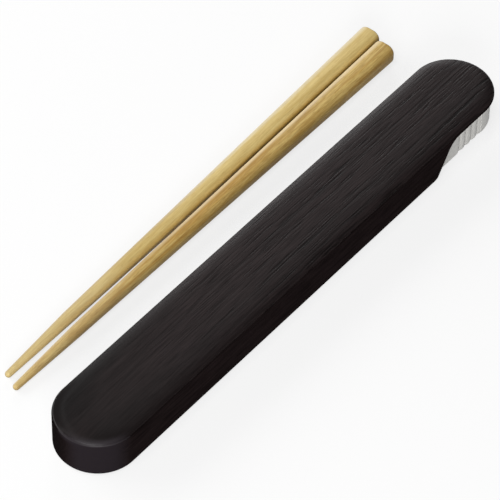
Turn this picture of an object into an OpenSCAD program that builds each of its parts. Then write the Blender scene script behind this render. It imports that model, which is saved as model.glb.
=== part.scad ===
// Portable chopstick case: a ribbed white tray, a dark lid that slides over it, and its pair of chopsticks.
// Millimetres. The origin is the centre of the closed case's underside, +X points along the case to
// the ribbed grip, +Y towards the chopsticks that lie beside it, and +Z up.

/* [Chopsticks] */
// Length of one chopstick
stick_l = 180; // [150:5:240]
// Width and height of the thick end
stick_w = 7.4; // [6:0.1:9]
// Rounding of the four long edges at the thick end
stick_corner_r = 2.8; // [1.2:0.1:2.9]
// Rounding of the edge around the thick end's face
stick_end_round = 0.8; // [0.3:0.1:1.1]
// Length of the slender part before the tip, which tapers faster than the rest
slender_l = 30; // [20:1:70]
// Width and height where the slender part begins
slender_w = 3.9; // [3.8:0.1:5]
// Rounding of the four long edges where the slender part begins
slender_corner_r = 1.8; // [1:0.1:1.8]
// Diameter of the tip
tip_d = 2.2; // [1.8:0.1:3.4]

/* [Room in the tray] */
// Spare length at each end of the chopsticks
end_room = 5.95; // [5:0.05:15]
// Spare width beside the pair of chopsticks
pair_room = 5.6; // [2:0.2:10]
// Spare height above the chopsticks
head_room = 2.2; // [1:0.1:5]

/* [Tray] */
// Thickness of the tray's side and end walls
tray_wall = 1.5; // [1.2:0.1:2.5]
// Thickness of the tray's floor
floor_t = 2; // [1.8:0.1:3]
// Rounding inside the tray, where the walls meet the floor
trough_round = 2.5; // [1.5:0.1:3.5]
// Rounding of the grip's lower outside edge
tray_round = 1; // [0.4:0.1:1.4]

/* [Grip ribs] */
// Number of grooves on each side of the grip
groove_count = 4; // [2:1:6]
// Distance from one groove to the next
rib_pitch = 3.05; // [2.4:0.05:4]
// Depth of a groove below the ribs beside it
rib_depth = 0.45; // [0.2:0.05:0.6]
// How far the ribs stand below the grip's plain wall
rib_drop = 0.1; // [0.05:0.05:0.3]
// Plain strip between the ribs and the grip's round end
rib_inset = 0.75; // [0.1:0.05:3]

/* [Lid] */
// Thickness of the lid's walls
lid_wall = 1.5; // [1.2:0.1:2.5]
// Thickness of the lid's top
lid_top = 2.1; // [1.6:0.1:3]
// Rounding of the lid's top edge, below the soft shoulder
top_round = 1.3; // [0.8:0.1:2]
// Radius of the soft shoulder between the lid's flat top and that rounding
shoulder_r = 6.5; // [4:0.5:10]
// Angle through which the shoulder falls away from the flat top
shoulder_turn = 26; // [10:1:35]
// Rounding of the lid's lower outside edge
foot_round = 0.75; // [0.3:0.05:1]
// Width of the lip along the lid's lower inside edge
lip_w = 1; // [0.6:0.1:1.2]
// Height of the lip
lip_h = 1.2; // [0.8:0.1:1.4]

/* [Finger notch in the lid] */
// Distance from the lid's open end to the foot of the notch
notch_l = 37.6; // [30:0.2:60]
// Slope of the notch's edge
notch_slope = 57.5; // [40:0.5:75]
// Rounding where the notch runs into the lid's top plate
notch_round = 6.5; // [2:0.5:8]
// Rounding of the wall's corner at the foot of the notch
notch_foot_round = 2; // [0.5:0.5:4]

/* [Clearances] */
// Gap between the lid's walls and lips and the tray
slide_gap = 0.3; // [0.2:0.05:0.5]
// Gap between the tray's rim and the lid's top
rim_gap = 0.3; // [0.2:0.05:0.6]
// Height of the lid's lower edge above the table
lid_lift = 0.2; // [0.1:0.05:0.4]
// How far the grip's end stands back under the lid's end
grip_setback = 0.3; // [0:0.1:2]

/* [Chopsticks beside the case] */
// Distance from the lid's side to the nearer chopstick
side_gap = 14.6; // [8:0.2:40]
// How far the nearer chopstick's thick end stands back from the case's end
end_setback = 5.8; // [0:0.1:20]
// How far the outer chopstick's thick end reaches past the nearer one's
pair_lead = 2.1; // [0:0.1:5]
// Turn of the nearer chopstick away from the case's length
pair_turn = 0.25; // [0:0.05:2]
// Gap between the pair at the thick ends
butt_gap = 0.2; // [0.1:0.05:1]
// Gap between the pair where their slender parts begin
slender_gap = 1.55; // [0.5:0.05:4]

/* [Hidden] */
$fn = 96;
// Smoothness of the chopsticks' rounded ends
stick_fn = 32;
// How far a cut runs past the face that it opens
overcut = 1;

// Tray, built around the chopsticks
trough_l = stick_l + 2 * end_room;
trough_w = 2 * stick_w + pair_room;
tray_l = trough_l + 2 * tray_wall;
tray_w = trough_w + 2 * tray_wall;
tray_h = floor_t + stick_w + head_room;
tray_r = tray_w / 2;

// Lid, built around the tray
lid_in_r = tray_r + slide_gap;
lid_in_h = tray_h + rim_gap;
lid_r = lid_in_r + lid_wall;
lid_h = lid_in_h + lid_top;
lid_l = lid_wall + slide_gap + tray_l + grip_setback;

// Places along the case: the lid's and the tray's ends, and the centres of the tray's round ends
far_x = lid_l / 2;
grip_end_x = far_x - grip_setback;
tray_near_x = grip_end_x - tray_l;
near_centre_x = tray_near_x + tray_r;
grip_centre_x = grip_end_x - tray_r;

// Lips of the lid, and the rebate along the tray's lower edge that they run in
lip_in_r = lid_in_r - lip_w;
lip_top_z = lid_lift + lip_h;
core_r = lip_in_r - slide_gap;
rebate_top_z = lip_top_z + slide_gap;

// Notch: its foot, the corner under the top plate, and the end of the rebate just past the lips
notch_foot_x = far_x - notch_l;
notch_rise = lid_in_h - lid_lift;
notch_corner_x = notch_foot_x + notch_rise / tan(notch_slope);
rebate_end_x = notch_foot_x + lip_h / tan(notch_slope) + slide_gap;

// Ribs: each is the crest of an upright cylinder, and neighbours meet at the groove's depth
rib_r = (rib_pitch * rib_pitch / 4 + rib_depth * rib_depth) / (2 * rib_depth);
ribs_start_x = grip_centre_x - rib_inset - groove_count * rib_pitch;

// Chopsticks on the table: centres of the thick ends, and the angle at which the pair spreads
tip_r = tip_d / 2;
right_end_x = far_x - end_setback;
right_end_y = lid_r + side_gap + stick_w / 2;
left_end_x = right_end_x + pair_lead;
left_end_y = right_end_y + stick_w + butt_gap;
pair_spread = atan2(stick_w + butt_gap - slender_w - slender_gap, stick_l - slender_l);

// Unit vector at an angle
function toward(angle) = [cos(angle), sin(angle)];

// Place rounded to a fine binary fraction, so that neighbouring sweeps meet exactly
function on_grid(x) = round(x * 65536) / 65536;

// What a rounding takes off a corner: centred on the rounding, it turns from one angle by another
// and reaches some way past the rounding
module corner_waste(r, start, turn, past = overcut) {
    reach = r + past;
    corner = reach / cos(turn / 2) * toward(start + turn / 2);
    difference() {
        polygon([[0, 0], reach * toward(start), corner, reach * toward(start + turn)]);
        circle(r);
    }
}

// Half of a cross-section, from the centre line out to r, with rounded outer corners, where a soft
// shoulder of a larger radius may lead into the upper rounding
module half_section(r, low_z, high_z, low_round = 0, high_round = 0, soft_r = 0, soft_turn = 0) {
    soft_z = soft_turn > 0 ? high_z - soft_r : high_z - high_round;
    step = soft_turn > 0 ? soft_r - high_round : 0;
    difference() {
        translate([0, low_z])
            square([r, high_z - low_z]);
        if (low_round > 0)
            translate([r - low_round, low_z + low_round])
                corner_waste(low_round, -90, 90);
        if (high_round > 0)
            translate([r - high_round, soft_z + step * cos(soft_turn)])
                corner_waste(high_round, 0, 90 - soft_turn, overcut + soft_r);
        if (soft_turn > 0)
            translate([r - high_round - step * sin(soft_turn), soft_z])
                corner_waste(soft_r, 90 - soft_turn, soft_turn, overcut + soft_r);
    }
}

// Bar along X with two half-round ends, swept from a half section of radius r
module round_ended(start_x, end_x, r) {
    first_x = on_grid(start_x + r);
    last_x = on_grid(end_x - r);
    translate([first_x, 0, 0])
        rotate(90)
            rotate_extrude(angle = 180)
                children();
    translate([last_x, 0, 0])
        rotate(-90)
            rotate_extrude(angle = 180)
                children();
    for (side = [0, 1])
        mirror([0, side, 0])
            translate([first_x, 0, 0])
                rotate([90, 0, 90])
                    linear_extrude(last_x - first_x)
                        children();
}

// Space around the floor's edge for the lid's lips, from the near end to the foot of the notch
module lip_rebate() {
    difference() {
        translate([tray_near_x - overcut, -tray_w, -overcut])
            cube([rebate_end_x - tray_near_x + overcut, 2 * tray_w, rebate_top_z + overcut]);
        round_ended(near_centre_x - core_r, rebate_end_x + 2 * core_r, core_r)
            half_section(core_r, -2 * overcut, rebate_top_z + overcut);
    }
}

// Grooves between the upright ribs on one side of the grip
module grip_grooves() {
    difference() {
        translate([ribs_start_x, tray_r - rib_drop - rib_r, -overcut])
            cube([groove_count * rib_pitch, rib_drop + rib_r + overcut, tray_h + 2 * overcut]);
        for (i = [0:groove_count])
            translate([ribs_start_x + i * rib_pitch, tray_r - rib_drop - rib_r, -2 * overcut])
                cylinder(r = rib_r, h = tray_h + 4 * overcut);
    }
}

// Tray that holds the chopsticks: round-ended trough, lip rebate and ribbed grip
module tray() {
    color("gainsboro")
        difference() {
            round_ended(tray_near_x, grip_end_x, tray_r)
                half_section(tray_r, 0, tray_h, low_round = tray_round);
            round_ended(tray_near_x + tray_wall, grip_end_x - tray_wall, trough_w / 2)
                half_section(trough_w / 2, floor_t, tray_h + overcut, low_round = trough_round);
            lip_rebate();
            for (side = [0, 1])
                mirror([0, side, 0])
                    grip_grooves();
        }
}

// Half section of the lid's hollow, narrower between the lips
module hollow_section() {
    translate([0, -overcut])
        square([lip_in_r, lip_top_z + 2 * overcut]);
    translate([0, lip_top_z])
        square([lid_in_r, lid_in_h - lip_top_z]);
}

// Hollow of the lid: round at the near end, open below and at the far end
module lid_hollow() {
    translate([near_centre_x, 0, 0])
        rotate(90)
            rotate_extrude(angle = 180)
                hollow_section();
    for (side = [0, 1])
        mirror([0, side, 0])
            translate([near_centre_x, 0, 0])
                rotate([90, 0, 90])
                    linear_extrude(far_x + overcut - near_centre_x)
                        hollow_section();
}

// Side view of the notch that bares the grip: a slope that curves into the top plate's underside
module notch_outline() {
    tangent = notch_round * tan(notch_slope / 2);
    foot_tangent = notch_foot_round * tan(notch_slope / 2);
    below_x = notch_foot_x - (lid_lift + overcut) / tan(notch_slope);
    past_x = far_x + overcut;
    difference() {
        polygon([[below_x, -overcut], [notch_corner_x, lid_in_h], [past_x, lid_in_h], [past_x, -overcut]]);
        translate([notch_corner_x + tangent, lid_in_h - notch_round])
            corner_waste(notch_round, 90, notch_slope);
    }
    translate([notch_foot_x - foot_tangent, lid_lift + notch_foot_round])
        corner_waste(notch_foot_round, -90, notch_slope);
}

// Lid that slides over the tray: closed at the near end, cut away over the grip
module slide_lid() {
    color([0.19, 0.17, 0.17])
        difference() {
            round_ended(-far_x, far_x, lid_r)
                half_section(lid_r, lid_lift, lid_h, foot_round, top_round, shoulder_r, shoulder_turn);
            lid_hollow();
            rotate([90, 0, 0])
                linear_extrude(2 * (lid_r + overcut), center = true)
                    notch_outline();
        }
}

// Four corners of a chopstick's section that faces +X, standing on the table
module stick_corners(w, corner_r, edge_round) {
    for (side = [-1, 1], level = [corner_r, w - corner_r])
        translate([0, side * (w / 2 - corner_r), level])
            rotate([0, 90, 0])
                rotate_extrude($fn = stick_fn)
                    half_section(corner_r, -edge_round, 0, high_round = edge_round);
}

// One chopstick lying on the table: round tip, rounded-square thick end with its face at x = 0
module chopstick() {
    hull() {
        translate([tip_r - stick_l, 0, tip_r])
            sphere(tip_r, $fn = stick_fn);
        translate([slender_l - stick_l, 0, 0])
            stick_corners(slender_w, slender_corner_r, slender_corner_r);
        stick_corners(stick_w, stick_corner_r, stick_end_round);
    }
}

// Outer chopstick of the pair
module chopstick_left() {
    color("burlywood")
        translate([left_end_x, left_end_y, 0])
            rotate(pair_turn + pair_spread)
                chopstick();
}

// Chopstick nearer to the case
module chopstick_right() {
    color("burlywood")
        translate([right_end_x, right_end_y, 0])
            rotate(pair_turn)
                chopstick();
}

tray();
slide_lid();
chopstick_left();
chopstick_right();
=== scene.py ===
import math

import bmesh
import bpy
import numpy as np
from mathutils import Matrix, Vector


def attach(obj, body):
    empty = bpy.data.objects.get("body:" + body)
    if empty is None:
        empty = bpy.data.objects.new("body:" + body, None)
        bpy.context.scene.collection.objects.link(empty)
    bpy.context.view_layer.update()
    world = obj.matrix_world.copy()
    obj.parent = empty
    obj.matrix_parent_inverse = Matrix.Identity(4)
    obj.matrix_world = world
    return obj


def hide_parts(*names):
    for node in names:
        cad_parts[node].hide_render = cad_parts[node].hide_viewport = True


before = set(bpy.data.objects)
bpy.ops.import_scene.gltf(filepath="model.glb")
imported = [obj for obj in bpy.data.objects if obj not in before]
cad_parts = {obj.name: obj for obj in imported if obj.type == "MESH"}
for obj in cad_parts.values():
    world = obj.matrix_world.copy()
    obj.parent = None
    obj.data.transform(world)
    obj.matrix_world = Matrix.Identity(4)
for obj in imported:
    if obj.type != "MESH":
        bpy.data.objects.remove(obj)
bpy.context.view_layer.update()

# Sizes in millimetres, as in the part's source apart from the lid's shoulder and upper edge
MM = 0.001
LID_R, LID_END_X, LID_TOP_Z, LID_LOW_Z = 13.5, 85.0, 14.0, 0.2
EDGE_ROUND, SHOULDER_TURN, SHOULDER_POWER, FOOT_ROUND = 1.0, math.radians(23), 8, 0.75
PLATE_R = LID_R - EDGE_ROUND * (1 - math.sin(SHOULDER_TURN))
SHOULDER_DROP = PLATE_R * math.tan(SHOULDER_TURN) / SHOULDER_POWER
ROUND_Z = LID_TOP_Z - SHOULDER_DROP - EDGE_ROUND * math.cos(SHOULDER_TURN)
CREST_ANGLE = math.pi / 2 - SHOULDER_TURN
LID_WALL, CEILING_Z, LIP_W, LIP_TOP_Z = 1.5, 11.9, 1.0, 1.4
NOTCH_FOOT_X, NOTCH_SLOPE, NOTCH_ROUND, NOTCH_FOOT_ROUND = 60.9, math.radians(57.5), 6.5, 2.0
TRAY_R, TRAY_NEAR_X, TRAY_FAR_X, RIM_Z = 11.7, -85.0, 86.5, 11.6
TRAY_WALL, FLOOR_Z, TROUGH_ROUND, TRAY_ROUND = 1.5, 2.0, 2.5, 1.0
REBATE_D, REBATE_Z, REBATE_END_X = 1.0, 1.7, 61.96
RIB_START_X, RIB_PITCH, RIB_COUNT, RIB_DROP, RIB_R = 73.55, 3.05, 4, 0.1, 2.809
RIB_END_X, RIB_DEPTH = RIB_START_X + RIB_COUNT * RIB_PITCH, 0.45
STICK_L, STICK_W, STICK_CORNER, STICK_END_ROUND = 180.0, 7.4, 2.8, 0.8
SLENDER_X, SLENDER_W, SLENDER_CORNER, TIP_R = -151.8, 3.9, 1.8, 1.1

# Small roundings and bevels in millimetres that only the scene has
NOTCH_EDGE_ROUND, NOTCH_BLEND, LIP_EDGE_ROUND, INNER_EDGE_ROUND, INNER_EDGE_SHARE = 0.4, 1.0, 0.2, 0.25, 0.4
RIM_ROUND, FOOT_BEVEL, REBATE_BEVEL, REBATE_SLOPE, RIB_STEP = 0.3, 0.15, 0.2, 0.15, 0.05
GRIP_FOOT_LOW, GRIP_FOOT_HIGH, END_FACE_SHARE = 0.4, 0.9, 0.6

# Steps of the meshes, and places in millimetres where the columns along the case change
LID_ROWS, LID_COLUMN, FAR_COLUMNS = 360, 1.0, 12
ROUND_STEPS, WALL_STEPS, UNDER_STEPS, BASE_STEPS, INNER_STEPS, INSIDE_STEPS = 16, 9, 7, 2, 3, 4
NOTCH_FROM_X, NOTCH_TO_X, NOTCH_COLUMN = 57, 76, 0.18
TRAY_ROWS, FOOT_STEPS, TRAY_COLUMN, PLAIN_COLUMNS, RIB_COLUMNS = 160, 8, 2.0, 8, 161
REBATE_TO_X, PLAIN_FROM_X, HOLLOW_STEPS = 60, 63.5, 17
SIDE_STEPS, RIM_STEPS, FLAT_STEPS, COVE_STEPS = 4, 4, 2, 10
CORNER_POINTS, END_RINGS, BODY_RINGS, SLENDER_RINGS, TIP_RINGS = 10, 8, 90, 24, 9

# Limits in metres for merging points and dropping empty faces, and in degrees for sharp edges
MERGE_GAP, EMPTY_GAP, SHARP, STICK_SHARP = 2e-6, 1e-7, 35, 60

# Layers of the pressed grain: strength, length and width of a cell, shift along and across, lattice layer
GRAIN = {
    "bend": (0.8, 58, 9, 9, 40, 0),
    "waver": (0.22, 17, 3, 0, 90, 1),
    "broad": (0.26, 22, 0.95, 0, 60, 2),
    "fine": (0.66, 8.0, 0.36, 0, 120, 3),
    "dash": (0.52, 2.6, 0.27, 0, 20, 5),
    "patch": (0.3, 34, 2.6, 5, 30, 4),
    "blot": (0.24, 12, 1.5, 0, 200, 6),
}
GRAIN_DEPTH, LINE_LIFT, LINE_RANGE, PATCH_LEVEL, PATCH_LEAST, NEAR_GRAIN = 0.065, 0.08, 0.85, 0.64, 0.15, 0.2

# Grain lines that run the whole length: place across the lid and strength
LONG_VEINS = ((4.2, 0.5), (-5.8, 0.4), (-9.9, 0.3))
VEIN_W = 0.4

# Repeatable lattice of random values for the pressed grain
SEED, LAYERS, CELLS = 11, 8, 256
LATTICE = np.random.RandomState(SEED).uniform(-1, 1, (LAYERS, CELLS, CELLS))

# Spans of the lid's finish, which place its painted shade, painted light and roughness, each the place where
# a change starts or ends and the length that it takes:
# along and across the lid in millimetres, around its near end, out to its rim, and up its rounding
GRAIN_X, TIP_X, NEAR_X, LEFT_DARK_X = (-68, 75), (-72, 20), (-20, 65), (-10, 75)
RUB_X, FRONT_X, SHINE_X = (-84, 6), (-85, 7), (-88, 6)
LEFT_Y, RIGHT_Y, LEFT_DARK_Y = (-3, 9), (-1, 8), (5, 6)
RUB_SIDE, WALL_LIGHT_SIDE, ROUND_LIGHT_SIDE, RING_LIGHT_SIDE = (0.5, 0.4), (0.15, 0.5), (0.45, 0.5), (0.2, 0.5)
DULL_OUT, SHINE_OUT, RING_LIGHT_OUT = (0.72, 0.2), (0.93, 0.06), (0.86, 0.12)
GRAIN_UP, SHINE_UP, MATT_UP, MATT_SHIFT = (0.1, 0.75), (0.68, 0.25), (0.9, 0.35), 0.35

# How much painted shade darkens parts of the lid
NEAR_DARK, RIGHT_DARK, TIP_DARK, CORNER_DARK, WALL_DARK, LEFT_DARK = 0.35, 0.28, 0.15, 0.35, 0.8, 0.6

# The lid's grain material ends where the surface is steeper than this, further down at the near right
STEEP, FRONT_STEEP, FRONT_FROM_X, FRONT_TO_Y, GRAIN_FROM_Z = 0.64, 0.36, -86, 4, 10

# Finish of the lid's top and of its walls; the walls' lower level darkens their colour as painted shade
TOP_FINISH = {"specular": 0.22, "smooth": 0.38, "rough": 0.54, "level": 1.46}
WALL_FINISH = {"specular": 0.01, "smooth": 0.65, "rough": 0.8, "level": 1.22}

# Colours of the two woods with the colours of their painted sheen and painted shade, the shift that gives
# each its own grain, and the strength of streaks and flame
PALE_WOOD = {"place": (0.31, 0.02, 0.01), "pale": (0.75, 0.58, 0.24), "warm": (0.63, 0.455, 0.16),
             "dark": (0.45, 0.28, 0.08), "painted_sheen": (0.78, 0.72, 0.56), "painted_shade": (0.3, 0.17, 0.02),
             "streak": 0.45, "flame": 0.12}
WARM_WOOD = {"place": (0.83, 0.05, 0.03), "pale": (0.66, 0.48, 0.17), "warm": (0.5, 0.29, 0.07),
             "dark": (0.28, 0.14, 0.03), "painted_sheen": (0.86, 0.73, 0.48), "painted_shade": (0.22, 0.12, 0.012),
             "streak": 0.66, "flame": 0.75}

# Grain of the wood: stretch along and across, then detail, roughness and distortion of the noise
WOOD_GRAIN = {
    "bands": (14, 420, 3, 0.5, 0.4),
    "streaks": (60, 1050, 3, 0.6, 0.3),
    "fibres": (190, 2300, 4, 0.65, 0),
    "pores": (330, 3000, 2, 0.5, 0),
    "blaze": (26, 760, 3, 0.6, 0.5),
}

# Sides of a chopstick with a painted sheen, painted shade, and painted shade on the thin part: middle, reach
# and fade in degrees from +Y over the top
SHEEN_SIDE, SHADE_SIDE, DIM_SIDE = (40, 55, 45), (195, 70, 42), (30, 85, 50)

# Spans along a chopstick over which the painted sheen and painted shade change, and how much they do
SHEEN_X, SHEEN_LOSS = (-95, 30), 0.55
THIN_X, SHADE_LOSS = (-60, 55), 0.7
PALER_X, PALER_SHARE = (-115, 30), 0.14

# Soft lamps: name, place, aim, size and power
LAMPS = (
    ("overhead", (-0.46, -0.06, 1.1), (0, 0.01, 0), (0.6, 0.6), 5.8),
    ("back", (0.5, 0.5, 0.26), (0.05, 0, 0), (0.35, 0.25), 1.5),
    ("front", (-1.15, -0.8, 0.6), (0, 0.01, 0), (0.9, 0.5), 15.2),
    ("left", (-0.3, 0.96, 0.48), (0, 0.01, 0), (1.1, 0.7), 8.2),
)
WORLD_STRENGTH = 0.03

# Floor: its size and height, its tone as seen and as light bounces off it, and its own glow near and far
FLOOR_SIZE, FLOOR_HEIGHT, SEEN_TONE, BOUNCE_TONE = 6, -0.0002, (0.97, 0.97, 0.97), (0.32, 0.32, 0.32)
GLOW_FROM, GLOW_TO, GLOW_NEAR, GLOW_FAR = 0.3, 0.9, 0.74, 1

# Camera: its angles, the aim in millimetres, the distance in metres, the lens and the clipping
AZIMUTH, ELEVATION, ROLL = math.radians(-51.61), math.radians(48.25), math.radians(1.184)
AIM, DISTANCE, LENS, SENSOR_W, CLIP = (1.02, 12.93, 0), 1.1493, 269.906, 36, (0.05, 20)


def ease(t):
    """Smooth step from 0 to 1."""
    t = np.clip(t, 0, 1)
    return t * t * (3 - 2 * t)


def rise(value, start, length):
    """0 up to a start, and 1 from a length past it."""
    return ease((value - start) / length)


def fall(value, end, length):
    """1 up to a length before an end, and 0 from the end on."""
    return ease((end - value) / length)


def lattice(u, v, layer):
    """Smooth noise from -1 to 1 with cells of unit size."""
    iu, iv = np.floor(u).astype(int), np.floor(v).astype(int)
    fu, fv = ease(u - iu), ease(v - iv)
    corners = ((0, 0), (1, 0), (0, 1), (1, 1))
    a, b, c, d = (LATTICE[layer][(iu + p) % CELLS, (iv + q) % CELLS] for p, q in corners)
    return (a * (1 - fu) + b * fu) * (1 - fv) + (c * (1 - fu) + d * fu) * fv


def grain_layer(name, x, y):
    """One layer of the pressed grain, times its strength."""
    strength, length, width, along, across, layer = GRAIN[name]
    return strength * lattice(x / length + along, y / width + across, layer)


def groove(x, y):
    """How deep the wood grain is pressed into the lid at a place, from 0 to 1."""
    wander = y + grain_layer("bend", x, y) + grain_layer("waver", x, y)
    lines = sum(grain_layer(name, x, wander) for name in ("broad", "fine", "dash"))
    patch = PATCH_LEVEL + grain_layer("patch", x, wander) + grain_layer("blot", x, wander)
    veins = sum(share * np.exp(-((wander - place) / VEIN_W) ** 2) for place, share in LONG_VEINS)
    pressed = ease((lines + LINE_LIFT) / LINE_RANGE) * np.clip(patch, PATCH_LEAST, 1) + veins
    return np.minimum(pressed, 1) * (NEAR_GRAIN + (1 - NEAR_GRAIN) * rise(x, *GRAIN_X))


# Meshes

class Loop:
    """Closed line around a round-ended plan, anticlockwise: far end, +Y side, near end, -Y side."""

    def __init__(self, near_x, far_x, columns, steps):
        spans = len(columns) - 1
        turn = np.linspace(-math.pi / 2, math.pi / 2, steps + 1)
        side = np.array(columns[1:-1], float)
        flat = np.zeros(spans - 1)
        self.cx = np.concatenate([np.full(steps + 1, far_x), side[::-1], np.full(steps + 1, near_x), side])
        self.nx = np.concatenate([np.cos(turn), flat, -np.cos(turn[::-1]), flat])
        self.ny = np.concatenate([np.sin(turn), flat + 1, np.sin(turn[::-1]), flat - 1])
        self.count = 2 * steps + 2 * spans
        self.far = np.arange(steps + 1)
        self.near = 2 * steps + spans - np.arange(steps + 1)
        self.left = steps + spans - np.arange(spans + 1)
        self.right = (2 * steps + spans + np.arange(spans + 1)) % self.count
        self.turn = turn
        self.share = (np.array(columns, float) - near_x) / (far_x - near_x)

    def place(self, r, d, z):
        """Points at distance d inside the outline of radius r; d and z have one row per station."""
        reach = r - d
        x = self.cx[:, None] + self.nx[:, None] * reach
        return np.stack([x, self.ny[:, None] * reach, z], axis=-1)

    def fill(self, ring, up):
        """Faces that close a flat ring of vertex numbers, facing up or down."""
        faces = []
        last = len(self.far) - 1
        for j in range(len(self.left) - 1):
            faces.append((self.right[j], self.right[j + 1], self.left[j + 1], self.left[j]))
        for end, order in ((self.far, 1), (self.near, -1)):
            for i in range(last // 2):
                quad = [end[i], end[i + 1], end[last - i - 1], end[last - i]]
                if quad[1] == quad[2]:
                    quad.pop(2)
                faces.append(tuple(quad[::order]))
        ordered = [[ring[station] for station in face] for face in faces]
        return ordered if up else [face[::-1] for face in ordered]


def numbered(points, first=0):
    """Vertex numbers for rows of points, counted from a first one."""
    return first + np.arange(points.shape[0] * points.shape[1]).reshape(points.shape[:2])


def quads(here, there):
    """Faces between neighbouring rows of vertex numbers."""
    corners = np.stack([here[:, :-1], here[:, 1:], there[:, 1:], there[:, :-1]], axis=-1)
    return corners.reshape(-1, 4).tolist()


def arc(centre_d, centre_z, r, start, end, steps):
    """Points on an arc of a profile, as distances and heights with one row per station.

    Angle 0 points out of the outline and 90 degrees up.
    """
    angles = np.linspace(0, 1, steps + 1)[None, :] * (end - start)[:, None] + start[:, None]
    return centre_d[:, None] - r[:, None] * np.cos(angles), centre_z[:, None] + r[:, None] * np.sin(angles)


def line(first, last, steps):
    """Points on a straight stretch of a profile between two places, without the first one."""
    t = np.linspace(0, 1, steps + 1)[None, 1:]
    return tuple(a[:, None] + (b - a)[:, None] * t for a, b in zip(first, last))


def head(stretch):
    """First place of a stretch of a profile."""
    return tuple(part[:, 0] for part in stretch)


def tail(stretch):
    """Last place of a stretch of a profile."""
    return tuple(part[:, -1] for part in stretch)


def rest(stretch):
    """A stretch of a profile without its first place."""
    return tuple(part[:, 1:] for part in stretch)


def joined(*stretches):
    """Distances and heights of a whole profile."""
    return tuple(np.concatenate(parts, axis=1) for parts in zip(*stretches))


def make_object(name, verts, faces, material, attributes, sharp=SHARP):
    """Mesh object from points in millimetres, smooth between edges sharper than an angle in degrees."""
    mesh = bpy.data.meshes.new(name)
    mesh.from_pydata((np.asarray(verts) * MM).tolist(), [], [tuple(int(v) for v in face) for face in faces])
    for key, values in attributes.items():
        layer = mesh.attributes.new(key, "FLOAT", "POINT")
        layer.data.foreach_set("value", np.asarray(values, np.float32))
    bm = bmesh.new()
    bm.from_mesh(mesh)
    bmesh.ops.remove_doubles(bm, verts=bm.verts, dist=MERGE_GAP)
    bmesh.ops.dissolve_degenerate(bm, edges=bm.edges, dist=EMPTY_GAP)
    bmesh.ops.recalc_face_normals(bm, faces=bm.faces)
    bm.to_mesh(mesh)
    bm.free()
    mesh.shade_smooth()
    mesh.set_sharp_from_angle(angle=math.radians(sharp))
    mesh.materials.append(material)
    obj = bpy.data.objects.new(name, mesh)
    bpy.context.scene.collection.objects.link(obj)
    return obj


# Materials

def new_material(name, colour, roughness, specular):
    """Material with its nodes, links and main shader."""
    mat = bpy.data.materials.new(name)
    mat.use_nodes = True
    nodes, links = mat.node_tree.nodes, mat.node_tree.links
    shader = nodes["Principled BSDF"]
    shader.inputs["Base Color"].default_value = (*colour, 1)
    shader.inputs["Roughness"].default_value = roughness
    shader.inputs["Specular IOR Level"].default_value = specular
    return mat, nodes, links, shader


def scaled(nodes, links, vector, scale):
    """A vector stretched by a scale per axis."""
    mapping = nodes.new("ShaderNodeMapping")
    mapping.inputs["Scale"].default_value = scale
    links.new(vector, mapping.inputs["Vector"])
    return mapping.outputs["Vector"]


def mapped(nodes, links, scale):
    """Object coordinates in metres, stretched by a scale per axis."""
    return scaled(nodes, links, nodes.new("ShaderNodeTexCoord").outputs["Object"], scale)


def noise(nodes, links, vector, detail=4, rough=0.55, distortion=0):
    """Noise with cells of unit size."""
    tex = nodes.new("ShaderNodeTexNoise")
    tex.inputs["Scale"].default_value = 1
    tex.inputs["Detail"].default_value = detail
    tex.inputs["Roughness"].default_value = rough
    tex.inputs["Distortion"].default_value = distortion
    links.new(vector, tex.inputs["Vector"])
    return tex.outputs["Fac"]


def ramp(nodes, links, value, stops):
    """Colour that runs through stops, each a value and its colour."""
    node = nodes.new("ShaderNodeValToRGB")
    elements = node.color_ramp.elements
    while len(elements) < len(stops):
        elements.new(0.5)
    for element, (place, colour) in zip(elements, stops):
        element.position = place
        element.color = (*colour, 1)
    links.new(value, node.inputs["Fac"])
    return node.outputs["Color"]


def remap(nodes, links, value, low, high, to_low, to_high):
    """A value moved from one range to another."""
    node = nodes.new("ShaderNodeMapRange")
    for key, number in zip(("From Min", "From Max", "To Min", "To Max"), (low, high, to_low, to_high)):
        node.inputs[key].default_value = number
    links.new(value, node.inputs["Value"])
    return node.outputs["Result"]


def mix(nodes, links, factor, a, b):
    """Blend of two colours, where the factor and the colours are constants or sockets."""
    node = nodes.new("ShaderNodeMix")
    node.data_type = "RGBA"
    for socket, value in ((node.inputs["Factor"], factor), (node.inputs[6], a), (node.inputs[7], b)):
        if isinstance(value, (int, float)):
            socket.default_value = value
        elif isinstance(value, tuple):
            socket.default_value = (*value, 1)
        else:
            links.new(value, socket)
    return node.outputs[2]


def combine(nodes, links, operation, a, b):
    """Sum, product or the like of two values."""
    node = nodes.new("ShaderNodeMath")
    node.operation = operation
    links.new(a, node.inputs[0])
    links.new(b, node.inputs[1])
    return node.outputs[0]


def attribute(nodes, name):
    """Value of a mesh attribute."""
    node = nodes.new("ShaderNodeAttribute")
    node.attribute_name = name
    return node.outputs["Fac"]


def bump(nodes, links, shader, height, strength):
    """Fine relief of a tenth of a millimetre in the shader's normal."""
    node = nodes.new("ShaderNodeBump")
    node.inputs["Strength"].default_value = strength
    node.inputs["Distance"].default_value = 0.1 * MM
    links.new(height, node.inputs["Height"])
    links.new(node.outputs["Normal"], shader.inputs["Normal"])


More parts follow.
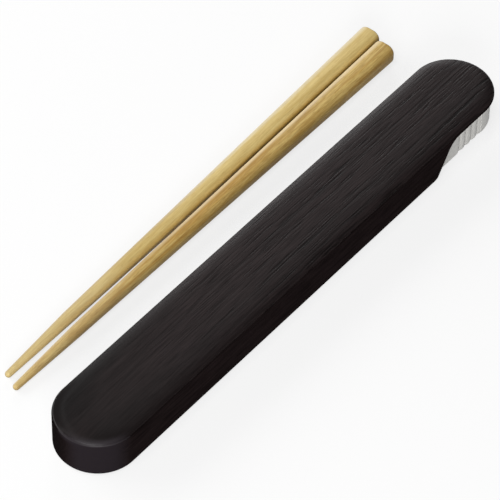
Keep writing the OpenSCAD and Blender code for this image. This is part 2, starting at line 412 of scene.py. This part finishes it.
def lid_material(name, specular, smooth, rough, level):
    """Dark plastic with a fibre tone, deeper in the grain and in painted shade, lighter in painted light at
    the front, matt at the edge and rubbed at the near rim.
    """
    mat, nodes, links, shader = new_material(name, (0.01, 0.009, 0.009), rough, specular)
    tones = {"fibre_low": (0.0069, 0.0046, 0.0047), "fibre_high": (0.0212, 0.0143, 0.0144),
             "cloud_low": (0.0083, 0.0056, 0.0057), "cloud_high": (0.0164, 0.0111, 0.0112),
             "pressed": (0.0035, 0.0024, 0.0024)}
    tones = {key: tuple(part * level for part in tone) for key, tone in tones.items()}
    painted_lighter, matt, polished, cloud_share = (0.0245, 0.0195, 0.023), (1.0, 1.0, 1.0), (0.3, 0.3, 0.3), 0.25

    fibre = noise(nodes, links, mapped(nodes, links, (95, 2900, 1300)), 3, 0.6)
    cloud = noise(nodes, links, mapped(nodes, links, (60, 160, 160)))
    fibres = ramp(nodes, links, fibre, [(0.35, tones["fibre_low"]), (0.7, tones["fibre_high"])])
    clouds = ramp(nodes, links, cloud, [(0.3, tones["cloud_low"]), (0.75, tones["cloud_high"])])
    clouded = mix(nodes, links, cloud_share, fibres, clouds)
    # The pressed grain and the painted shade both darken the colour towards the pressed tone
    dark = mix(nodes, links, attribute(nodes, "groove"), clouded, tones["pressed"])
    # Painted light lightens the colour at the near end's front
    colour = mix(nodes, links, attribute(nodes, "painted_light"), dark, painted_lighter)
    links.new(colour, shader.inputs["Base Color"])

    satin = remap(nodes, links, fibre, 0.3, 0.75, smooth, rough)
    edged = mix(nodes, links, attribute(nodes, "edge"), satin, matt)
    links.new(mix(nodes, links, attribute(nodes, "polish"), edged, polished), shader.inputs["Roughness"])
    bump(nodes, links, shader, noise(nodes, links, mapped(nodes, links, (260, 4200, 2600)), 2), 0.16)
    return mat


def tray_material():
    """Satin white plastic, with painted shade that darkens it a little in the hollows between the ribs."""
    mat, nodes, links, shader = new_material("tray_white", (0.85, 0.84, 0.805), 0.45, 0.4)
    low, high, hollow = (0.83, 0.82, 0.785), (0.88, 0.87, 0.835), (0.64, 0.63, 0.6)
    cloud = noise(nodes, links, mapped(nodes, links, (45, 90, 90)))
    clean = ramp(nodes, links, cloud, [(0.3, low), (0.7, high)])
    links.new(mix(nodes, links, attribute(nodes, "hollow"), clean, hollow), shader.inputs["Base Color"])
    speck = noise(nodes, links, mapped(nodes, links, (2600, 2600, 2600)), 3)
    links.new(remap(nodes, links, speck, 0.3, 0.7, 0.4, 0.52), shader.inputs["Roughness"])
    bump(nodes, links, shader, speck, 0.08)
    return mat


def wood_material(name, place, pale, warm, dark, painted_sheen, painted_shade, streak, flame):
    """Clear-coated wood with streaks along the stick, a brown flame at its thick end, a painted sheen on one
    long side and painted shade on the other.
    """
    mat, nodes, links, shader = new_material(name, pale, 0.45, 0.18)
    coords = nodes.new("ShaderNodeTexCoord")
    shift = nodes.new("ShaderNodeVectorMath")
    shift.operation = "ADD"
    shift.inputs[1].default_value = place
    links.new(coords.outputs["Object"], shift.inputs[0])

    def grain(key):
        along, across, detail, rough, distortion = WOOD_GRAIN[key]
        vector = scaled(nodes, links, shift.outputs["Vector"], (along, across, across))
        return noise(nodes, links, vector, detail, rough, distortion)

    fibres = grain("fibres")
    brightest = tuple(min(1, part * 1.1) for part in pale)
    body = ramp(nodes, links, grain("bands"), [(0.32, warm), (0.5, pale), (0.72, brightest)])
    striped = mix(nodes, links, remap(nodes, links, grain("streaks"), 0.42, 0.66, 0, streak), body, warm)
    fibred = mix(nodes, links, remap(nodes, links, fibres, 0.4, 0.75, 0, streak), striped, dark)
    pored = mix(nodes, links, remap(nodes, links, grain("pores"), 0.6, 0.74, 0, 0.45), fibred, dark)

    # Brown flame in the thick part, strongest near the end
    along = nodes.new("ShaderNodeSeparateXYZ")
    links.new(coords.outputs["Object"], along.inputs[0])
    reach = remap(nodes, links, along.outputs["X"], -0.075, 0.0, 0, flame)
    blaze = remap(nodes, links, grain("blaze"), 0.48, 0.66, 0, 1)
    wood = mix(nodes, links, combine(nodes, links, "MULTIPLY", reach, blaze), pored, dark)

    # Painted sheen on one long side and painted shade on the opposite one
    for side, colour in (("painted_sheen_side", painted_sheen), ("painted_shade_side", painted_shade)):
        wood = mix(nodes, links, attribute(nodes, side), wood, colour)
    links.new(wood, shader.inputs["Base Color"])
    links.new(remap(nodes, links, fibres, 0.3, 0.7, 0.36, 0.52), shader.inputs["Roughness"])
    bump(nodes, links, shader, fibres, 0.2)
    return mat


def floor_material():
    """White floor with a faint shadow, which mostly glows where it is seen and bounces less light."""
    mat, nodes, links, shader = new_material("floor_white", SEEN_TONE, 0.9, 0)
    path = nodes.new("ShaderNodeLightPath")
    seen = path.outputs["Is Camera Ray"]
    for ray in ("Is Glossy Ray", "Is Transmission Ray"):
        seen = combine(nodes, links, "MAXIMUM", seen, path.outputs[ray])
    links.new(mix(nodes, links, seen, BOUNCE_TONE, SEEN_TONE), shader.inputs["Base Color"])
    distance = nodes.new("ShaderNodeVectorMath")
    distance.operation = "LENGTH"
    links.new(mapped(nodes, links, (1, 1, 1)), distance.inputs[0])
    share = remap(nodes, links, distance.outputs["Value"], GLOW_FROM, GLOW_TO, GLOW_NEAR, GLOW_FAR)
    glow = nodes.new("ShaderNodeEmission")
    lift = nodes.new("ShaderNodeMixShader")
    links.new(combine(nodes, links, "MULTIPLY", seen, share), lift.inputs[0])
    links.new(shader.outputs[0], lift.inputs[1])
    links.new(glow.outputs[0], lift.inputs[2])
    links.new(lift.outputs[0], nodes["Material Output"].inputs["Surface"])
    mat.cycles.emission_sampling = "NONE"
    return mat


# Lid

def notch_edge(x):
    """Height of the lid wall's lower edge in side view, which rises in an S into the top plate."""
    rise_x = NOTCH_FOOT_X + (CEILING_Z - LID_LOW_Z) / math.tan(NOTCH_SLOPE)
    foot_x = NOTCH_FOOT_X - NOTCH_FOOT_ROUND * math.tan(NOTCH_SLOPE / 2)
    top_x = rise_x + NOTCH_ROUND * math.tan(NOTCH_SLOPE / 2)
    foot_end = foot_x + NOTCH_FOOT_ROUND * math.sin(NOTCH_SLOPE)
    top_start = top_x - NOTCH_ROUND * math.sin(NOTCH_SLOPE)
    slope = LID_LOW_Z + (x - NOTCH_FOOT_X) * math.tan(NOTCH_SLOPE)
    foot_h = np.sqrt(np.maximum(NOTCH_FOOT_ROUND ** 2 - (x - foot_x) ** 2, 0))
    top_h = np.sqrt(np.maximum(NOTCH_ROUND ** 2 - (top_x - x) ** 2, 0))
    z = np.where(x > top_start, CEILING_Z - NOTCH_ROUND + top_h, slope)
    z = np.where(x < foot_end, LID_LOW_Z + NOTCH_FOOT_ROUND - foot_h, z)
    return np.where(x < foot_x, LID_LOW_Z, np.where(x > top_x, CEILING_Z, z))


def shoulder_drop(x, y):
    """How far the lid's top lies below its flat middle at a place on the soft shoulder around it."""
    out = np.hypot(np.maximum(np.abs(x) - LID_END_X, 0), y) / PLATE_R
    return SHOULDER_DROP * np.minimum(out, 1) ** SHOULDER_POWER


def lid_profile(low):
    """Profile from the plate's edge over the rounding, down the wall, under it and up to the ceiling.

    The argument is the height of the wall's lower edge at each station.
    """
    zero = np.zeros(len(low))
    downward, inward = zero - math.pi / 2, zero - math.pi
    outer_r = FOOT_ROUND + (NOTCH_EDGE_ROUND - FOOT_ROUND) * rise(low, LID_LOW_Z, NOTCH_BLEND)
    spare_r = EDGE_ROUND - outer_r
    lean = np.arcsin(np.clip((low + outer_r - ROUND_Z) / spare_r, 0, 1))
    over = arc(zero + EDGE_ROUND, zero + ROUND_Z, zero + EDGE_ROUND, zero + CREST_ANGLE, lean, ROUND_STEPS)
    under = arc(EDGE_ROUND - spare_r * np.cos(lean), low + outer_r, outer_r, lean, downward, UNDER_STEPS)
    wall = line(tail(over), head(under), WALL_STEPS)

    # The lip ends where the notch has risen past it
    lipped = low < LIP_TOP_Z
    inner_d = np.where(lipped, LID_WALL + LIP_W, LID_WALL)
    lip_r = np.minimum(LIP_EDGE_ROUND, (LIP_TOP_Z - low) * INNER_EDGE_SHARE)
    plain_r = np.minimum(INNER_EDGE_ROUND, (CEILING_Z - low) * INNER_EDGE_SHARE)
    inner_r = np.where(lipped, lip_r, plain_r)
    inner = arc(inner_d - inner_r, low + inner_r, inner_r, downward, inward, INNER_STEPS)
    base = line(tail(under), head(inner), BASE_STEPS)
    lip = line(tail(inner), (inner_d, np.where(lipped, LIP_TOP_Z, tail(inner)[1])), 1)
    shelf = line(tail(lip), (zero + LID_WALL, tail(lip)[1]), 1)
    up = line(tail(shelf), (zero + LID_WALL, zero + CEILING_Z), INSIDE_STEPS)
    return joined(rest(over), wall, rest(under), base, rest(inner), lip, shelf, up)


def lid_finish(loop, top, points, pressed, sunk, angle):
    """Attributes for the lid's looks: the grain's tone, painted shade that darkens the near end's left, the
    near end and the right side, a rubbed rim, and painted light that lightens its front.
    """
    verts = np.concatenate([top, points.reshape(-1, 3)])
    rounding = slice(0, ROUND_STEPS)
    station_x = loop.cx + loop.nx * LID_R
    top_x, top_side = top[:, 0], top[:, 1] / PLATE_R
    out = np.hypot(np.maximum(-LID_END_X - top_x, 0), top[:, 1]) / PLATE_R
    rubbed = fall(station_x, *RUB_X) * fall(loop.ny, *RUB_SIDE)
    front = fall(station_x, *FRONT_X)

    # Tone, from the grain and from painted shade where the lid is darker
    depth = np.zeros(points.shape[:2])
    depth[:, rounding] = sunk
    x, y, high = verts[:, 0], verts[:, 1], verts[:, 2] > ROUND_Z
    tip, left = fall(x, *TIP_X), rise(y, *LEFT_Y)
    painted_dimming = NEAR_DARK * fall(x, *NEAR_X) + RIGHT_DARK * fall(y, *RIGHT_Y)
    tone = np.concatenate([pressed.reshape(-1), depth.reshape(-1)])
    tone += np.where(high, painted_dimming + TIP_DARK * tip + CORNER_DARK * tip * left, WALL_DARK * tip * left)
    tone += LEFT_DARK * fall(x, *LEFT_DARK_X) * rise(y, *LEFT_DARK_Y)

    # Matt sides, and a matt shoulder at the left of the near end
    side = np.ones(points.shape[:2])
    side[:, rounding] = fall(angle[None, :], MATT_UP[0] - MATT_SHIFT * rubbed[:, None], MATT_UP[1])
    dull = rise(out, *DULL_OUT) * tip[:len(top)] * left[:len(top)]

    # Polish on the rubbed rim
    shine = np.zeros(points.shape[:2])
    shine[:, rounding] = rubbed[:, None] * rise(angle, *SHINE_UP)[None, :]
    rim = fall(top_x, *SHINE_X) * rise(out, *SHINE_OUT) * fall(top_side, *RUB_SIDE)

    # Painted light on the front wall, the rounding above it and the ring of the plate next to that
    painted_lighter = np.repeat((front * fall(loop.ny, *WALL_LIGHT_SIDE))[:, None], points.shape[1], axis=1)
    painted_lighter[:, rounding] = (front * fall(loop.ny, *ROUND_LIGHT_SIDE))[:, None]
    ring = fall(top_x, *FRONT_X) * fall(top_side, *RING_LIGHT_SIDE) * rise(out, *RING_LIGHT_OUT)
    # groove carries the grain's tone and the painted shade
    return {"groove": np.clip(tone, 0, 1), "edge": np.append(dull, side), "polish": np.append(rim, shine),
            "painted_light": np.append(ring, painted_lighter)}


def build_lid():
    columns = np.concatenate([np.arange(-LID_END_X, NOTCH_FROM_X, LID_COLUMN),
                              np.arange(NOTCH_FROM_X, NOTCH_TO_X, NOTCH_COLUMN),
                              np.linspace(NOTCH_TO_X, LID_END_X, FAR_COLUMNS)])
    loop = Loop(-LID_END_X, LID_END_X, columns, LID_ROWS)

    # Top plate with the grain pressed into it
    end = LID_END_X + PLATE_R * np.cos(loop.turn)
    x = -end[:, None] + 2 * end[:, None] * loop.share[None, :]
    y = np.repeat((PLATE_R * np.sin(loop.turn))[:, None], len(columns), axis=1)
    pressed = groove(x, y)
    plate = np.stack([x, y, LID_TOP_Z - shoulder_drop(x, y) - GRAIN_DEPTH * pressed], axis=-1)
    top = plate.reshape(-1, 3)

    # Walls, where the grain runs a little way over the rounding and fades out on it
    points = loop.place(LID_R, *lid_profile(notch_edge(loop.cx + loop.nx * LID_R)))
    angle = np.linspace(CREST_ANGLE, 0, ROUND_STEPS + 1)[1:]
    over = points[:, :ROUND_STEPS]
    sunk = groove(over[..., 0], over[..., 1]) * rise(angle, *GRAIN_UP)[None, :]
    inward = GRAIN_DEPTH * sunk * np.cos(angle)[None, :]
    over[..., 0] -= inward * loop.nx[:, None]
    over[..., 1] -= inward * loop.ny[:, None]
    over[..., 2] -= GRAIN_DEPTH * sunk * np.sin(angle)[None, :]

    grid = numbered(plate)
    edge = np.zeros(loop.count, int)
    edge[loop.far], edge[loop.near] = grid[:, -1], grid[:, 0]
    edge[loop.left], edge[loop.right] = grid[-1], grid[0]
    rings = numbered(points, len(top))
    strips = np.concatenate([edge[:, None], rings], axis=1)
    faces = quads(grid[:-1], grid[1:]) + quads(strips, np.roll(strips, -1, axis=0))
    faces += loop.fill(rings[:, -1], up=False)
    obj = make_object("lid", np.concatenate([top, points.reshape(-1, 3)]), faces,
                      lid_material("lid_grain", **TOP_FINISH),
                      lid_finish(loop, top, points, pressed, sunk, angle))

    # The walls have a material of their own, with hardly any shine and a lower level that darkens their
    # colour as painted shade
    obj.data.materials.append(lid_material("lid_side", **WALL_FINISH))
    for face in obj.data.polygons:
        in_front = face.center.x < FRONT_FROM_X * MM and face.center.y < FRONT_TO_Y * MM
        level = face.normal.z > (FRONT_STEEP if in_front else STEEP)
        face.material_index = 0 if level and face.center.z > GRAIN_FROM_Z * MM else 1
    return obj


# Tray

def rib_depth(x):
    """How far the grip's wall stands back at a place along the ribs."""
    nearest = np.clip(np.round((x - RIB_START_X) / RIB_PITCH), 0, RIB_COUNT)
    off = x - RIB_START_X - nearest * RIB_PITCH
    cut = RIB_DROP + RIB_R - np.sqrt(np.maximum(RIB_R ** 2 - off ** 2, 0))
    return np.where((x >= RIB_START_X) & (x <= RIB_END_X), cut, 0)


def tray_foot(rebated, back):
    """Profile of the tray's lower edge: a rebate for the lid's lips, or a rounding at the grip."""
    angles = np.linspace(-90, 0, FOOT_STEPS + 1)[1:]
    first = angles[0]
    d = [np.where(rebated, REBATE_D + FOOT_BEVEL, back + TRAY_ROUND)]
    z = [np.zeros(len(back))]
    for angle in angles:
        turn = math.radians(angle)
        climb = FOOT_BEVEL + (REBATE_Z - FOOT_BEVEL) * (angle - first) / -first
        d.append(np.where(rebated, REBATE_D, back + TRAY_ROUND - TRAY_ROUND * math.cos(turn)))
        z.append(np.where(rebated, climb, TRAY_ROUND + TRAY_ROUND * math.sin(turn)))
    d += [np.where(rebated, REBATE_BEVEL, back), np.where(rebated, 0, back)]
    z.append(np.where(rebated, REBATE_Z, TRAY_ROUND + GRIP_FOOT_LOW))
    z.append(np.where(rebated, REBATE_Z + REBATE_BEVEL, TRAY_ROUND + GRIP_FOOT_HIGH))
    return np.stack(d, 1), np.stack(z, 1)


def tray_profile(rebated, back):
    """Profile from the underside around the lower edge, up the wall, over the rim and down to the floor."""
    zero = np.zeros(len(back))
    upward, inward, downward = zero + math.pi / 2, zero + math.pi, zero - math.pi / 2
    rim_z, cove_z = zero + RIM_Z - RIM_ROUND, zero + FLOOR_Z + TROUGH_ROUND
    foot = tray_foot(rebated, back)
    rim = arc(back + RIM_ROUND, rim_z, zero + RIM_ROUND, zero, upward, RIM_STEPS)
    lip = arc(zero + TRAY_WALL - RIM_ROUND, rim_z, zero + RIM_ROUND, upward, inward, RIM_STEPS)
    cove = arc(zero + TRAY_WALL + TROUGH_ROUND, cove_z, zero + TROUGH_ROUND, zero, downward, COVE_STEPS)
    wall = line(tail(foot), head(rim), SIDE_STEPS)
    flat = line(tail(rim), head(lip), FLAT_STEPS)
    down = line(tail(lip), head(cove), SIDE_STEPS)
    return joined(foot, wall, rest(rim), flat, rest(lip), down, rest(cove))


def build_tray():
    columns = np.concatenate([np.arange(TRAY_NEAR_X, REBATE_TO_X, TRAY_COLUMN),
                              [REBATE_END_X - REBATE_SLOPE, REBATE_END_X],
                              np.linspace(PLAIN_FROM_X, RIB_START_X - RIB_STEP, PLAIN_COLUMNS),
                              np.linspace(RIB_START_X, RIB_END_X, RIB_COLUMNS),
                              [RIB_END_X + RIB_STEP, TRAY_FAR_X]])
    loop = Loop(TRAY_NEAR_X, TRAY_FAR_X, columns, TRAY_ROWS)
    back = np.where(np.abs(loop.nx) < 1e-9, rib_depth(loop.cx), 0)
    rebated = loop.cx < REBATE_END_X - REBATE_SLOPE / 2
    points = loop.place(TRAY_R, *tray_profile(rebated, back))
    rings = numbered(points)
    faces = quads(rings, np.roll(rings, -1, axis=0))
    faces += loop.fill(rings[:, 0], up=False) + loop.fill(rings[:, -1], up=True)

    # Painted shade in the hollows, only on the grip's wall up to its rim
    hollow = np.zeros(rings.shape)
    hollow[:, :HOLLOW_STEPS] = (np.clip((back - RIB_DROP) / RIB_DEPTH, 0, 1) ** 2)[:, None]
    attributes = {"hollow": hollow.reshape(-1)}
    return make_object("tray_body", points.reshape(-1, 3), faces, tray_material(), attributes)


# Chopsticks

def stick_ring(x, half, corner, lift=0, drop=0):
    """Rounded-square section with a half width and a corner radius, a lift less a drop above the table."""
    corner = min(corner, half)
    points = []
    for quarter in range(4):
        middle = math.radians(45 + 90 * quarter)
        y = (half - corner) * math.copysign(1, math.cos(middle))
        z = (half - corner) * math.copysign(1, math.sin(middle))
        for angle in np.linspace(-45, 45, CORNER_POINTS):
            turn = middle + math.radians(angle)
            points.append((x, y + corner * math.cos(turn), half + z + corner * math.sin(turn) + lift - drop))
    return points


def stick_rings():
    """Sections from the rounded thick end along the taper and the slender part to the round tip."""
    half, slim, tip_x = STICK_W / 2, SLENDER_W / 2, TIP_R - STICK_L
    rings = []
    for angle in np.linspace(90, 0, END_RINGS):
        inset = STICK_END_ROUND * (1 - math.cos(math.radians(angle)))
        x = -STICK_END_ROUND * (1 - math.sin(math.radians(angle)))
        rings.append(stick_ring(x, half - inset, STICK_CORNER - inset, inset))
    for t in np.linspace(0, 1, BODY_RINGS)[1:]:
        x = -STICK_END_ROUND + (SLENDER_X + STICK_END_ROUND) * t
        corner = STICK_CORNER + (SLENDER_CORNER - STICK_CORNER) * t
        rings.append(stick_ring(x, half + (slim - half) * t, corner))
    for t in np.linspace(0, 1, SLENDER_RINGS)[1:]:
        x = SLENDER_X + (tip_x - SLENDER_X) * t
        corner = SLENDER_CORNER + (TIP_R - SLENDER_CORNER) * t
        rings.append(stick_ring(x, slim + (TIP_R - slim) * t, corner))
    for angle in np.linspace(0, 90, TIP_RINGS)[1:-1]:
        r = TIP_R * math.cos(math.radians(angle))
        rings.append(stick_ring(tip_x - TIP_R * math.sin(math.radians(angle)), r, r, TIP_R, r))
    return rings


def facing(turns, middle, reach, fade):
    """1 for directions around a middle angle in degrees, fading to 0 at the reach on either side of it."""
    return fall(np.abs((turns - middle + 180) % 360 - 180), reach, fade)


def stick_sides(rings, sheen, shading, dim):
    """Painted sheen and painted shade on the stick's sides, with a pad of zeros for the points of its end
    face and tip.
    """
    turns = np.concatenate([np.linspace(90 * quarter, 90 * quarter + 90, CORNER_POINTS)
                            for quarter in range(4)])
    along = np.array([ring[0][0] for ring in rings])
    thin = fall(along, *THIN_X)
    painted_sheen = np.outer(sheen * (1 - SHEEN_LOSS * fall(along, *SHEEN_X)), facing(turns, *SHEEN_SIDE))
    painted_sheen += (PALER_SHARE * fall(along, *PALER_X))[:, None]
    painted_shade = np.outer(shading * (1 - SHADE_LOSS * thin), facing(turns, *SHADE_SIDE))
    painted_shade += np.outer(dim * thin, facing(turns, *DIM_SIDE))
    pad = np.zeros(len(turns) + 1)
    return {"painted_sheen_side": np.append(painted_sheen, pad), "painted_shade_side": np.append(painted_shade, pad)}


def build_stick(name, end, yaw, material, sheen, shading, dim):
    rings = stick_rings()
    count, half = len(rings[0]), STICK_W / 2
    verts = [point for ring in rings for point in ring]
    first, last = len(verts), len(verts) - count
    verts += [(0.0, END_FACE_SHARE * y, half + END_FACE_SHARE * (z - half)) for _, y, z in rings[0]]
    verts.append((-STICK_L, 0, TIP_R))
    around = [(i, (i + 1) % count) for i in range(count)]
    faces = [(k + i, k + j, k + count + j, k + count + i) for k in range(0, last, count) for i, j in around]
    for i, j in around:
        faces.append((first + i, first + j, j, i))
        faces.append((last + i, last + j, first + count))
    faces.append(tuple(first + i for i in range(count)))
    obj = make_object(name, verts, faces, material, stick_sides(rings, sheen, shading, dim), STICK_SHARP)
    obj.location = (end[0] * MM, end[1] * MM, 0)
    obj.rotation_euler = (0, 0, math.radians(yaw))
    return obj


# Stage

def build_floor():
    bpy.ops.mesh.primitive_plane_add(size=FLOOR_SIZE, location=(0, 0, FLOOR_HEIGHT))
    obj = bpy.context.object
    obj.name = "floor"
    obj.data.materials.append(floor_material())
    return obj


def build_world():
    world = bpy.data.worlds.new("studio")
    bpy.context.scene.world = world
    world.use_nodes = True
    sky = world.node_tree.nodes["Background"]
    sky.inputs["Color"].default_value = (1, 1, 1, 1)
    sky.inputs["Strength"].default_value = WORLD_STRENGTH


def softbox(name, place, aim, size, power):
    """Rectangular soft lamp at a place, turned to an aim."""
    light = bpy.data.lights.new(name, "AREA")
    light.shape = "RECTANGLE"
    light.size, light.size_y = size
    light.energy = power
    obj = bpy.data.objects.new(name, light)
    obj.location = place
    obj.rotation_euler = (Vector(aim) - Vector(place)).to_track_quat("-Z", "Y").to_euler()
    obj.visible_camera = False
    bpy.context.scene.collection.objects.link(obj)


def build_camera():
    """Camera at the photograph's viewing angle."""
    level = math.cos(ELEVATION)
    back = Vector((math.sin(AZIMUTH) * level, -math.cos(AZIMUTH) * level, math.sin(ELEVATION)))
    right = (-back).cross(Vector((0, 0, 1))).normalized()
    up = right.cross(-back)
    side = math.cos(ROLL) * right + math.sin(ROLL) * up
    top = -math.sin(ROLL) * right + math.cos(ROLL) * up
    eye = Vector(AIM) * MM + back * DISTANCE
    camera = bpy.data.cameras.new("camera")
    camera.lens, camera.sensor_width = LENS, SENSOR_W
    camera.clip_start, camera.clip_end = CLIP
    obj = bpy.data.objects.new("camera", camera)
    obj.matrix_world = Matrix(((side.x, top.x, back.x, eye.x), (side.y, top.y, back.y, eye.y),
                               (side.z, top.z, back.z, eye.z), (0, 0, 0, 1)))
    bpy.context.scene.collection.objects.link(obj)
    bpy.context.scene.camera = obj


# Pieces on their bodies

lid = build_lid()
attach(lid, "slide_lid")
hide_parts("slide_lid")

tray = build_tray()
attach(tray, "tray")
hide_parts("tray")

# Each chopstick: body, piece, thick end in millimetres, yaw in degrees, wood, and strength of its painted
# sheen, its painted shade and its painted shade on the thin part
outer_wood = wood_material("wood_pale", **PALE_WOOD)
inner_wood = wood_material("wood_warm", **WARM_WOOD)
for body, name, end, yaw, material, sheen, shading, dim in (
        ("chopstick_left", "stick_outer", (94.8, 39.4), 1.0713, outer_wood, 0.6, 0.75, 0.34),
        ("chopstick_right", "stick_inner", (92.7, 31.8), 0.25, inner_wood, 0.8, 0.5, 0.15)):
    stick = build_stick(name, end, yaw, material, sheen, shading, dim)
    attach(stick, body)
    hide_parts(body)

floor = build_floor()
build_world()
for lamp in LAMPS:
    softbox(*lamp)
build_camera()
bpy.context.scene.view_settings.view_transform = "Standard"
